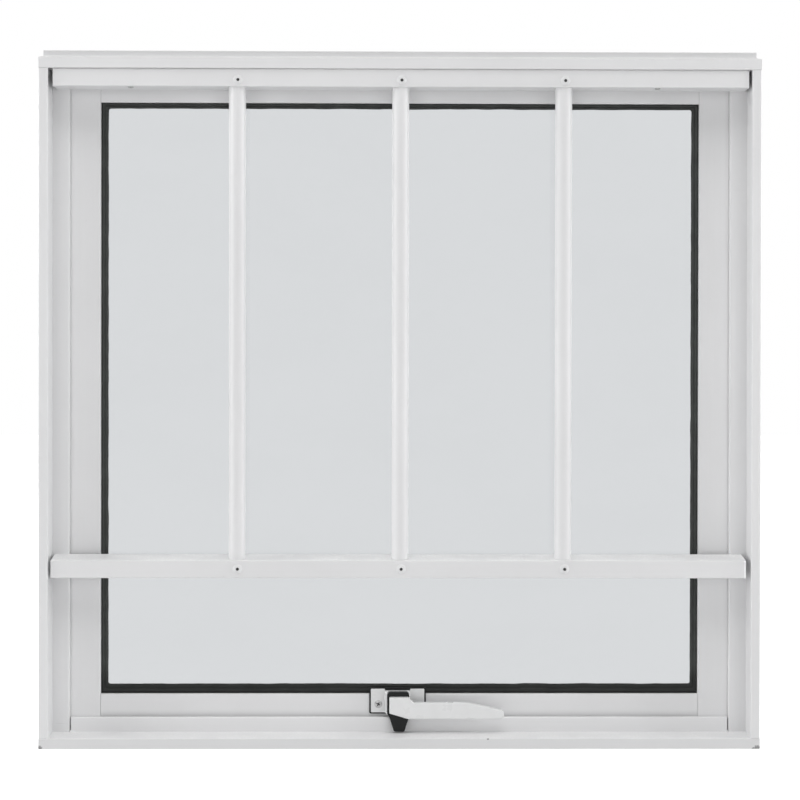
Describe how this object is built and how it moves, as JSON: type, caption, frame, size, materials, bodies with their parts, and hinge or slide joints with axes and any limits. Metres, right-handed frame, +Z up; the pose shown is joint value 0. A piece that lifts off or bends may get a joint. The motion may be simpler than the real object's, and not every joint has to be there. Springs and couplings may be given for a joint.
{
  "type": "top hung awning window",
  "caption": "Top hung awning window in white aluminium: fixed frame, glazed sash, turning lever catch and a barred grille on the room side.",
  "frame": {"origin": "middle of the flat face under the sill, at mid depth of the frame", "axes": "+X along the sill to the right as seen from the room, +Y outdoors, +Z up"},
  "size_m": [0.6, 0.06, 0.5831],
  "materials": {
    "white_paint": "smooth white powder coat, semi-gloss",
    "grille_paint": "smooth white powder coat, semi-gloss",
    "glass": "clear float glass",
    "black_rubber": "matt black glazing gasket",
    "grey_seal": "soft grey weather seal",
    "handle_paint": "white powder coat on cast metal, semi-gloss",
    "black_nylon": "black moulded nylon",
    "pin_steel": "plain turned steel",
    "stay_steel": "brushed stainless steel strip"
  },
  "bodies": {
    "window": {"sill": "white_paint", "header": "white_paint", "left_jamb": "white_paint", "right_jamb": "white_paint", "sash_left_stile": "white_paint", "sash_right_stile": "white_paint", "sash_top_rail": "white_paint", "sash_bottom_rail": "white_paint", "grille_head_rail": "grille_paint", "grille_lower_rail": "grille_paint", "grille_bar_left": "grille_paint", "grille_bar_middle": "grille_paint", "grille_bar_right": "grille_paint", "glass_pane": "glass", "gasket_bottom": "black_rubber", "gasket_right": "black_rubber", "gasket_top": "black_rubber", "gasket_left": "black_rubber", "seal_left": "grey_seal", "seal_right": "grey_seal", "seal_bottom": "grey_seal", "seal_top": "grey_seal", "handle_base": "handle_paint", "handle_underlay": "black_nylon", "stay_track_left": "stay_steel", "stay_sash_plate_left": "stay_steel", "stay_long_arm_left": "stay_steel", "stay_short_arm_left": "stay_steel", "stay_track_right": "stay_steel", "stay_sash_plate_right": "stay_steel", "stay_long_arm_right": "stay_steel", "stay_short_arm_right": "stay_steel"},
    "handle": {"handle_catch": "black_nylon", "handle_pin": "pin_steel", "handle_lever": "handle_paint"}
  },
  "joints": [
    {"name": "lever_turn", "type": "hinge", "parent": "window", "child": "handle", "pos_m": [-0.0017, -0.0057, 0.0338], "axis": [0, -1, 0], "range_deg": [0, 90]}
  ]
}
